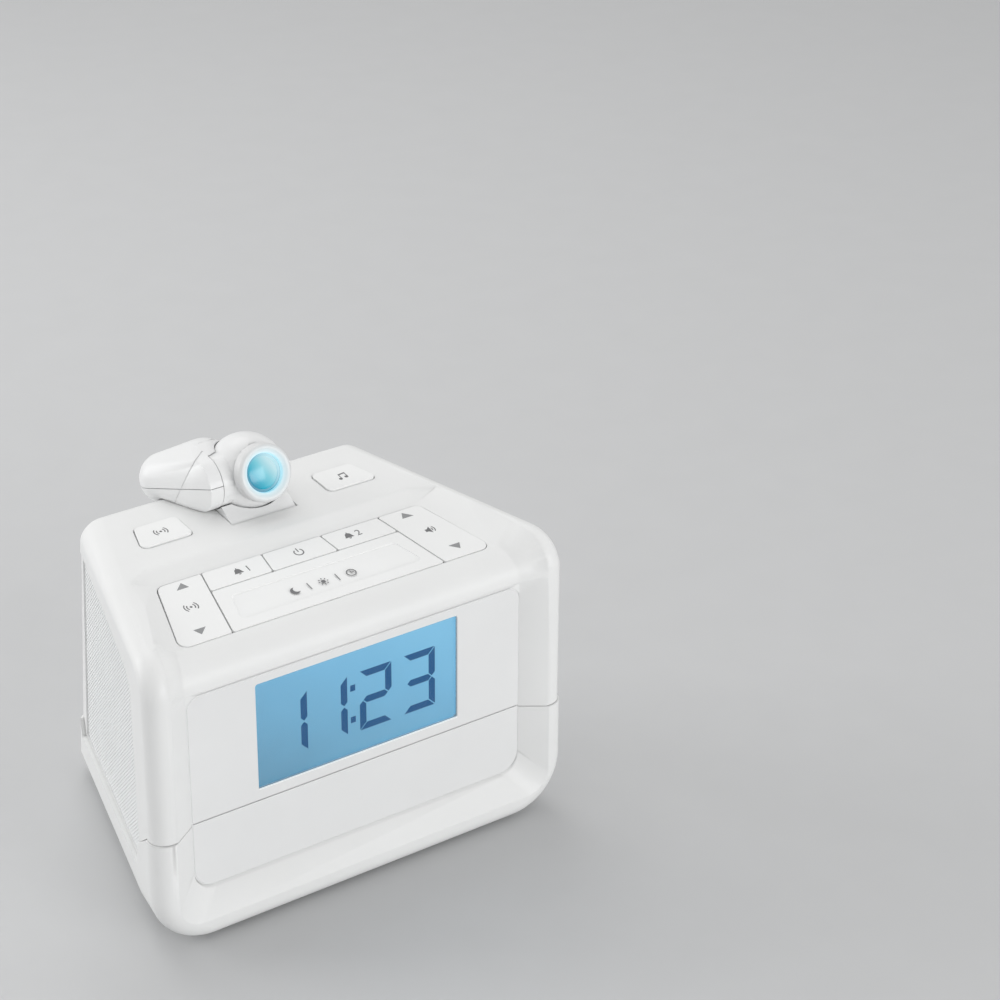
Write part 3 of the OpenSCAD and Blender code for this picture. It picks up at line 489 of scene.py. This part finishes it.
def trim(ob, x, y, way_x, way_y, nick=0.0):
    """Cuts off what lies beyond a line through (x, y), on the side of (way_x, way_y)."""
    way = Vector((way_x, way_y, 0)).normalized()
    edge = Vector((x, y, 0)) * MM - way * nick * MM
    edit(ob)
    bpy.ops.mesh.bisect(plane_co=edge, plane_no=way, clear_outer=True)
    close()
    return ob


def thicken(ob, depth):
    """Raises a flat outline to a thin plate whose top lies at z = depth."""
    edit(ob)
    bpy.ops.mesh.extrude_region_move(TRANSFORM_OT_translate={"value": (0, 0, depth * MM)})
    bpy.ops.mesh.select_all(action="SELECT")
    bpy.ops.mesh.normals_make_consistent(inside=False)
    close()
    return ob


# ---------------------------------------------------------------- casing shells
GROOVE, LOWER_SHARE = 0.2, -0.1


def shell(name, way):
    """Smooth casing shell, drawn back from the split line so that the joint is a fine groove."""
    ob = copy_of(name, flat=0.3)
    for v in ob.data.vertices:
        y, z = v.co.y / MM + MID_Y, v.co.z / MM - FOOT_H
        if abs(z - split_z(y)) < 0.05:
            v.co.z += way * GROOVE * MM
    ob.data.update()
    soften(ob, 0, angle=32)
    return clothe(ob, name + "_shell", casing_white, "casing", "casing", name)


shell("upper_casing", 1)
shell("lower_casing", LOWER_SHARE)


# ---------------------------------------------------------------- ribbed side panels
RIB_PITCH, RIB_WIDTH, RIB_HEIGHT, RIB_LENGTH, RIB_COUNT = 1.15, 0.62, 0.24, 300, 130
RIB_SLANT = math.radians(-50)
PANEL_RIM, PANEL_T = 0.45, 1.1
SIDE_OUT = Vector((math.cos(TAPER), math.sin(TAPER), 0))


def panel_block(grow, out, depth):
    """The panel's outline as a block: grown round its middle, its face moved out from the floor."""
    ob = copy_of("side_panel_right", flat=0)
    floor = max(v.co.dot(SIDE_OUT) for v in ob.data.vertices) - PANEL_RIM * MM
    edit_where(ob, lambda place: abs(place.dot(SIDE_OUT) - floor) > 0.03 * MM)
    bpy.ops.mesh.delete(type="VERT")
    bpy.ops.mesh.select_all(action="SELECT")
    close()
    middle = sum((v.co for v in ob.data.vertices), Vector()) / len(ob.data.vertices)
    edit(ob)
    bpy.ops.transform.resize(value=(grow, grow, grow), center_override=middle)
    bpy.ops.transform.translate(value=SIDE_OUT * out * MM)
    bpy.ops.mesh.duplicate_move(TRANSFORM_OT_translate={"value": -SIDE_OUT * depth * MM})
    bpy.ops.mesh.select_all(action="SELECT")
    bpy.ops.mesh.convex_hull()
    bpy.ops.mesh.normals_make_consistent(inside=False)
    close()
    return ob, middle


def fine_ribs():
    """Slanting ribs standing on the panel's floor, cut to the panel's outline less a border."""
    outline, middle = panel_block(0.985, 0.4, 0.5)
    bpy.ops.object.select_all(action="DESELECT")
    bpy.ops.mesh.primitive_cube_add(size=1)
    bpy.context.object.scale = (RIB_WIDTH * MM, 2 * RIB_HEIGHT * MM, RIB_LENGTH * MM)
    ribs = fixed()
    modify(ribs, "ARRAY", count=RIB_COUNT, use_relative_offset=False, use_constant_offset=True,
           constant_offset_displace=(RIB_PITCH * MM, 0, 0))
    settle(ribs, Matrix.Translation(middle)
           @ Matrix.Rotation(math.radians(90) + TAPER, 4, "Z") @ Matrix.Rotation(RIB_SLANT, 4, "Y")
           @ Matrix.Translation((-RIB_COUNT / 2 * RIB_PITCH * MM, 0, 0)))
    cut(ribs, outline, "INTERSECT")
    return ribs


def ribbed_panels():
    """A pair of panels, each a plate, a wider backing and ribs; the left one is turned over."""
    plate, backing = panel_block(1, 0, PANEL_T)[0], panel_block(1.03, -0.85, 1.0)[0]
    panel = join([plate, backing, fine_ribs()])
    twin = bpy.data.objects.new("ribbed_panel_left", panel.data.copy())
    bpy.context.scene.collection.objects.link(twin)
    edit(twin)
    bpy.ops.transform.mirror(constraint_axis=(True, False, False), center_override=(0, 0, 0))
    bpy.ops.mesh.normals_make_consistent(inside=False)
    close()
    for ob, side in ((panel, "right"), (twin, "left")):
        soften(ob, 0)
        clothe(ob, "ribbed_panel_" + side, panel_white, "casing", "side_panel",
               "side_panel_" + side)


ribbed_panels()


# ---------------------------------------------------------------- front
GASKET, PLATE_EDGE = 0.56, 0.3
PLATES = ("display_plate", "lower_fascia")


def front_face(name):
    """A plate of the front with its edge rounded."""
    plate = copy_of(name)
    soften(plate, PLATE_EDGE)
    clothe(plate, name + "_face", plate_white, "casing", "front_plate", name)


def front_gasket(name):
    """A soft white gasket that closes the gap round a plate, a little below its face."""
    gasket = copy_of(name)
    lo, hi = [Vector(corner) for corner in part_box(name)]
    size, middle = hi - lo, (lo + hi) / 2
    grow = ((size.x + GASKET * MM) / size.x, 0.8, (size.z + GASKET * MM) / size.z)
    edit(gasket)
    bpy.ops.transform.resize(value=grow, center_override=middle)
    close()
    soften(gasket, 0)
    clothe(gasket, name + "_gasket", plate_white, "casing", "front_plate")


for name in PLATES:
    front_face(name)
for name in PLATES:
    front_gasket(name)

# A slim sill, brightened by a faint painted glow, lies along the foot of the window opening
sill = box(-WIN_W / 2 + 0.05, WIN_W / 2 - 0.05, -0.06, 0.46, WIN_Z + 0.01, WIN_Z + 0.42)
soften(sill, 0.1, 2)
clothe(sill, "window_sill", sill_white_painted_glow, "casing", "front_plate")

SCREEN_MARGIN, PANE_GAP = 2.6, 0.1
screen = box(-WIN_W / 2 - SCREEN_MARGIN, WIN_W / 2 + SCREEN_MARGIN, PLATE_T, PLATE_T + 2.8,
             WIN_Z - SCREEN_MARGIN, WIN_Z + WIN_H + 2)
soften(screen, 0.4, 2)
clothe(screen, "lcd_screen", lcd_blue, "casing", "lcd", "lcd_panel")

pane = box(-WIN_W / 2 + PANE_GAP, WIN_W / 2 - PANE_GAP, 0.5, 1.6,
           WIN_Z + PANE_GAP, WIN_Z + WIN_H - PANE_GAP)
soften(pane, 0.3, 3)
clothe(pane, "window_pane", window_clear, "casing", "window", "display_window")

# Figures of the time: the size of a figure, the width of its bars and the gap between them
CELL_W, CELL_H, BAR, NICK = 13.2, 23.8, 2.6, 0.2
TIME_Z = WIN_Z + WIN_H / 2 - 1.2 - CELL_H / 2
ONE = ("right_high", "right_low")
TWO = ("top", "right_high", "middle", "left_low", "foot")
THREE = ("top", "right_high", "middle", "right_low", "foot")


def figure_bar(x0, which):
    """One bar of a figure whose cell starts at x0, with mitred ends and a fine gap beside it."""
    mid_x, mid_z, half_w, half_h = x0 + CELL_W / 2, TIME_Z + CELL_H / 2, CELL_W / 2, CELL_H / 2
    if which == "middle":
        ob = slab(x0 + BAR / 2, x0 + CELL_W - BAR / 2, mid_z - BAR / 2, mid_z + BAR / 2)
        for side in (-1, 1):
            for up in (-1, 1):
                trim(ob, mid_x + side * (half_w - BAR / 2), mid_z, side, up, NICK)
        return ob
    if which in ("top", "foot"):
        up = 1 if which == "top" else -1
        edge = mid_z + up * half_h
        ob = slab(x0, x0 + CELL_W, min(edge, edge - up * BAR), max(edge, edge - up * BAR))
        trim(ob, x0, edge, -1, -up, NICK)
        return trim(ob, x0 + CELL_W, edge, 1, -up, NICK)
    side = 1 if "right" in which else -1
    up = 1 if "high" in which else -1
    edge, end = mid_x + side * half_w, mid_z + up * half_h
    ob = slab(min(edge, edge - side * BAR), max(edge, edge - side * BAR),
              min(mid_z, end), max(mid_z, end))
    trim(ob, edge, end, -side, up, NICK)
    for way in (-1, 1):
        trim(ob, edge - side * BAR / 2, mid_z, way, -up, NICK)
    return ob


bars = []
for cell_x, which in ((-33.3, ONE), (-17, ONE), (1.3, TWO), (19.6, THREE)):
    bars += [figure_bar(cell_x, part) for part in which]
for dot_z in (17.1, 4.3):
    bars.append(slab(-2.5, -0.5, TIME_Z + dot_z, TIME_Z + dot_z + 2.4))
figures = thicken(join(bars), 0.12)
settle(figures, Matrix.Translation(at(0, PLATE_T + 0.02, 0))
       @ Matrix.Rotation(math.pi / 2, 4, "X"))
clothe(figures, "time_figures", figure_blue, "casing", "lcd")


# ---------------------------------------------------------------- keys
ON_PAD, ON_DECK, INK = 0.29, 0.39, 0.045
KEY_EDGE = 0.22
for name in [n for n in NODE if n.endswith("_key")]:
    cap = copy_of(name)
    soften(cap, KEY_EDGE)
    clothe(cap, name + "_cap", key_white, name, "key", name)


def flare(ob, test, x, y, across, along):
    """Widens the chosen end of a flat piece about a point."""
    edit_where(ob, test)
    bpy.ops.transform.resize(value=(across, along, 1), center_override=(x * MM, y * MM, 0))
    close()
    return ob


def bell(x, y):
    """A bell with its clapper and its knob."""
    dome = trim(disc(x, y + 0.3, 1.2), x, y + 0.3, 0, -1)
    skirt = flare(slab(x - 1.2, x + 1.2, y - 1.0, y + 0.3),
                  lambda place: place.y < (y - 0.5) * MM, x, y, 1.5, 1)
    clapper = trim(disc(x, y - 1.25, 0.5, 16), x, y - 1.25, 0, 1)
    return [dome, skirt, clapper, disc(x, y + 1.75, 0.25, 12)]


def waves(x, y):
    """A dot with two arcs on each side."""
    signs = [disc(x, y, 0.5, 16)]
    for radius in (1.5, 2.5):
        signs += [hoop(x, y, radius, 0.42, 42, 0), hoop(x, y, radius, 0.42, 42, 180)]
    return signs


def speaker_sign(x, y):
    """A little horn with two arcs before it."""
    horn = flare(slab(x - 1.35, x - 0.1, y - 0.7, y + 0.7),
                 lambda place: place.x > (x - 0.5) * MM, x, y, 1, 2.6)
    return [horn, slab(x - 2.3, x - 1.3, y - 0.7, y + 0.7),
            hoop(x - 0.5, y, 1.1, 0.4, 45, 0), hoop(x - 0.5, y, 2.0, 0.4, 45, 0)]


def power_mark(x, y):
    """A ring open at the top with a stroke in the opening."""
    return [hoop(x, y, 1.7, 0.45, 145, -90), stroke(x, y + 0.2, x, y + 2.3, 0.45)]


MOON_R, BITE_R, BITE_X, BITE_Y = 1.8, 1.45, 0.95, 0.45


def moon(x, y):
    """A crescent: what a bite takes from a disc is pushed back to the edge of the bite."""
    ob = disc(x, y, MOON_R, 48)
    middle = Vector((x + BITE_X, y + BITE_Y, 0)) * MM
    way = Vector((BITE_X, BITE_Y, 0)).normalized()
    for v in ob.data.vertices:
        off = v.co - middle
        if off.length < BITE_R * MM:
            along = off.dot(way)
            chord = math.sqrt((BITE_R * MM) ** 2 - (off.length_squared - along ** 2))
            v.co -= way * (along + chord)
    ob.data.update()
    return [ob]


def sun(x, y):
    """A dot with eight rays."""
    rays = []
    for i in range(8):
        c, s = math.cos(math.pi / 4 * i), math.sin(math.pi / 4 * i)
        rays.append(stroke(x + 1.3 * c, y + 1.3 * s, x + 1.95 * c, y + 1.95 * s, 0.36))
    return [disc(x, y, 0.85, 20)] + rays


def clock_sign(x, y):
    """A dial with two hands."""
    return [hoop(x, y, 1.7, 0.4), stroke(x, y + 0.18, x, y + 1.15, 0.36),
            stroke(x - 0.18, y, x + 0.95, y, 0.36)]


def note_sign(x, y):
    """Two notes under one beam."""
    heads = [disc(x - 1.4, y - 1.5, 0.72, 20), disc(x + 1.2, y - 1.1, 0.72, 20)]
    stems = [slab(x - 1.02, x - 0.68, y - 1.4, y + 1.0), slab(x + 1.58, x + 1.92, y - 1.0, y + 1.3)]
    return heads + stems + [stroke(x - 0.92, y + 1.3, x + 2.0, y + 1.7, 0.7)]


def snooze_row():
    """Moon, sun and dial with a thin line between each two."""
    lines = [slab(x, x + 0.34, -1.9, 1.9) for x in (-5.9, 5.56)]
    return moon(-11.4, 0) + sun(0, 0) + clock_sign(11.4, 0) + lines


def arrow(x, y, way, lean):
    """A small triangle that points up or down and leans with the side of its key."""
    ob = disc(x, y, 2.1, 3, 0 if way > 0 else 180)
    for v in ob.data.vertices:
        across, along = v.co.x - x * MM, v.co.y - y * MM
        v.co.x = x * MM + 1.3 * across + lean * along
    ob.data.update()
    return ob


def numeral(text, x, y, size=4.4):
    """A plain numeral, made a mesh and laid flat."""
    bpy.ops.object.select_all(action="DESELECT")
    bpy.ops.object.text_add()
    ob = bpy.context.object
    ob.data.body = text
    ob.data.size = size * MM
    ob.data.align_x, ob.data.align_y = "CENTER", "CENTER"
    bpy.ops.object.convert(target="MESH")
    return settle(ob, Matrix.Translation(Vector((x, y, 0)) * MM))


def lay_marks(name, body, slope, place, parts, mat=mark_grey):
    """Prints signs drawn round the origin on a key: laid on its slope at a casing place."""
    marks = thicken(join(parts), INK)
    settle(marks, Matrix.Translation(at(*place)) @ Matrix.Rotation(slope, 4, "X"))
    return clothe(marks, name, mat, body, "key")


def on_pad(x, y):
    """A place on the keys of the pad."""
    return x, y, pad_z(y) + ON_PAD


def on_deck(x, y):
    """A place on the keys of the deck."""
    return x, y, deck_z(y) + ON_DECK


for name, x, y, parts in (
        ("tuner", -48.6, 28.5, waves(0, 0)), ("volume", 49.4, 28.5, speaker_sign(0, 0)),
        ("alarm_1", -22.4, 38.3, bell(-1.9, 0) + [numeral("1", 2.1, 0)]),
        ("alarm_2", 23.0, 38.6, bell(-1.9, 0) + [numeral("2", 2.2, 0)]),
        ("power", 0.3, 38.6, power_mark(0, -0.2))):
    lay_marks(name + "_sign", name + "_key", PAD_TILT, on_pad(x, y), parts)
lay_marks("snooze_signs", "snooze_key", PAD_TILT, on_pad(-1.1, 20.1), snooze_row())
for name, high, low, lean in (("tuner", (-45.7, 39.7), (-52.3, 15.9), 0.28),
                              ("volume", (46.0, 39.6), (52.0, 16.3), -0.24)):
    half_x, half_y = (high[0] - low[0]) / 2, (high[1] - low[1]) / 2
    lay_marks(name + "_arrows", name + "_key", PAD_TILT,
              on_pad((high[0] + low[0]) / 2, (high[1] + low[1]) / 2),
              [arrow(half_x, half_y, 1, lean), arrow(-half_x, -half_y, -1, lean)], arrow_grey)
lay_marks("radio_sign", "radio_key", DECK_RISE, on_deck(-37.5, 68.5), waves(0, 0))
lay_marks("sounds_sign", "sounds_key", DECK_RISE, on_deck(37.5, 68.5), note_sign(0, 0))


# ---------------------------------------------------------------- projector
ARM_MID, ARM_MID_R = (-9.4, 86.0, 126.0), 12.6
ARM_END, ARM_END_R = (-20, 96.0, 122.9), 9.4
ARM_SEAM, SEAM_UNDER, SEAM_GAP = math.radians(16), 0.6, 0.12
MOUTH_X, MOUTH_R = HEAD[0] - 14.8, 9.8
LINE_MID, LINE_WAY = (-13.95, 86.15, 127.2), Vector((-0.581, 0.690, 0.428))
LINE_W, LINE_DEPTH = 0.3, 0.35
CROWN_R, BARREL_R, BALL_R, RING_R = 14.5, 9.95, 14.55, 11


def projector_part(node_name, name, body, slot, width, mat=projector_white, angle=SMOOTH):
    """A piece of the projector with its edges rounded by a width."""
    ob = copy_of(node_name, flat=0.3)
    soften(ob, width, 3, angle)
    return clothe(ob, name, mat, body, slot, node_name)


def ball(place, radius):
    """A ball round a casing place."""
    bpy.ops.object.select_all(action="DESELECT")
    bpy.ops.mesh.primitive_uv_sphere_add(segments=64, ring_count=32, radius=radius * MM,
                                         location=at(*place))
    return fixed()


def rod(x0, x1, radius):
    """A round bar along the tilt axis."""
    bpy.ops.object.select_all(action="DESELECT")
    bpy.ops.mesh.primitive_cylinder_add(vertices=96, radius=radius * MM, depth=(x1 - x0) * MM,
                                        location=at((x0 + x1) / 2, HEAD[1], HEAD[2]),
                                        rotation=(0, math.pi / 2, 0))
    return fixed()


def arm_round(less):
    """The whole round of the arm as one solid, less a skin."""
    whole = join([ball(ARM_MID, ARM_MID_R - less), ball(ARM_END, ARM_END_R - less),
                  rod(MOUTH_X - 5, MOUTH_X, MOUTH_R - less)])
    edit(whole)
    bpy.ops.mesh.convex_hull()
    close()
    return whole


def line_cutter():
    """A thin washer round the arm, as deep as the line that it cuts."""
    bpy.ops.object.select_all(action="DESELECT")
    bpy.ops.mesh.primitive_cylinder_add(vertices=64, radius=24 * MM, depth=LINE_W * MM)
    turn = LINE_WAY.to_track_quat("Z", "Y").to_matrix().to_4x4()
    washer = settle(bpy.context.object, Matrix.Translation(at(*LINE_MID)) @ turn)
    cut(washer, arm_round(LINE_DEPTH))
    return washer


def arm_shell(node_name, name, way):
    """Half of the arm, drawn back a little from the other half, with a fine line round it."""
    ob = copy_of(node_name, flat=0.3)
    lean = Vector((0, math.sin(ARM_SEAM), math.cos(ARM_SEAM)))
    origin = at(0, HEAD[1], HEAD[2] - SEAM_UNDER)
    for v in ob.data.vertices:
        if abs((v.co - origin).dot(lean)) < 0.05 * MM:
            v.co += lean * way * SEAM_GAP * MM
    ob.data.update()
    cut(ob, line_cutter())
    soften(ob, 0, angle=38)
    return clothe(ob, name, projector_white, "casing", "projector", node_name)


def arm_crown():
    """The arm carried on behind the head, up to the round of the ball and clear of the ring."""
    crown = arm_round(0)
    cut(crown, rod(MOUTH_X, HEAD[0] + 3, CROWN_R), "INTERSECT")
    cut(crown, rod(MOUTH_X - 1, HEAD[0] + 4, BARREL_R))
    cut(crown, ball(HEAD, BALL_R))
    cut(crown, box(HEAD[0] - 10.9, 20, 40, HEAD[1], 90, 150))
    bpy.ops.object.select_all(action="DESELECT")
    bpy.ops.mesh.primitive_cylinder_add(vertices=96, radius=RING_R * MM, depth=30 * MM,
                                        location=at(HEAD[0], HEAD[1], HEAD[2] + 14))
    cut(crown, fixed())
    cut(crown, box(-30, 20, 40, 130, 90, HEAD[2] - 3))
    soften(crown, 0, angle=38)
    return clothe(crown, "arm_crown", projector_white, "casing", "projector")


arm_crown()
arm_shell("arm_upper", "arm_upper_shell", 1)
arm_shell("arm_lower", "arm_lower_shell", -1)
projector_part("projector_base", "projector_saddle", "casing", "projector", 0.5)
projector_part("head_shell", "projector_head", "head", "projector", 0, angle=38)
projector_part("focus_ring", "focus_ring_turned", "ring", "ring", 0.4, ring_white_painted_glow)
projector_part("projector_lens", "projector_lens_dome", "lens_slide", "lens", 0.15, lens_blue)


# ---------------------------------------------------------------- stage
WORLD_LIGHT = 0.58
LAMPS = (  # name, place, aim, size, power
    ("top_back", (0.1, 0.6, 1.2), (0, 0, 0.08), (0.9, 0.9), 4.6),
    ("front_low", (0.35, -1.5, 0.35), (0, 0, 0.06), (0.9, 0.6), 9),
    ("back_left", (-1.0, 0.95, 0.5), (0, 0, 0.06), (0.8, 0.8), 8))


def lay_table():
    """The plain table under the clock."""
    bpy.ops.object.select_all(action="DESELECT")
    bpy.ops.mesh.primitive_plane_add(size=8, location=(0, 0, 0))
    table = bpy.context.object
    table.name = "table_top"
    table.data.materials.append(finish("table_grey", (0.6, 0.605, 0.61), 0.6, tone=0.01,
                                       specular=0.2))


def light_room():
    """Soft light from all round."""
    world = bpy.data.worlds.new("soft_room")
    bpy.context.scene.world = world
    world.use_nodes = True
    room = world.node_tree.nodes["Background"]
    room.inputs["Color"].default_value = (1, 1, 1, 1)
    room.inputs["Strength"].default_value = WORLD_LIGHT


def soft_box(name, place, aim, size, power):
    """A wide soft lamp turned to a point."""
    light = bpy.data.lights.new(name, "AREA")
    light.shape = "RECTANGLE"
    light.size, light.size_y = size
    light.energy = power
    ob = bpy.data.objects.new(name, light)
    bpy.context.scene.collection.objects.link(ob)
    ob.location = place
    ob.rotation_euler = (Vector(aim) - Vector(place)).to_track_quat("-Z", "Y").to_euler()


lay_table()
light_room()
for lamp in LAMPS:
    soft_box(*lamp)

bpy.context.scene.view_settings.view_transform = "Standard"
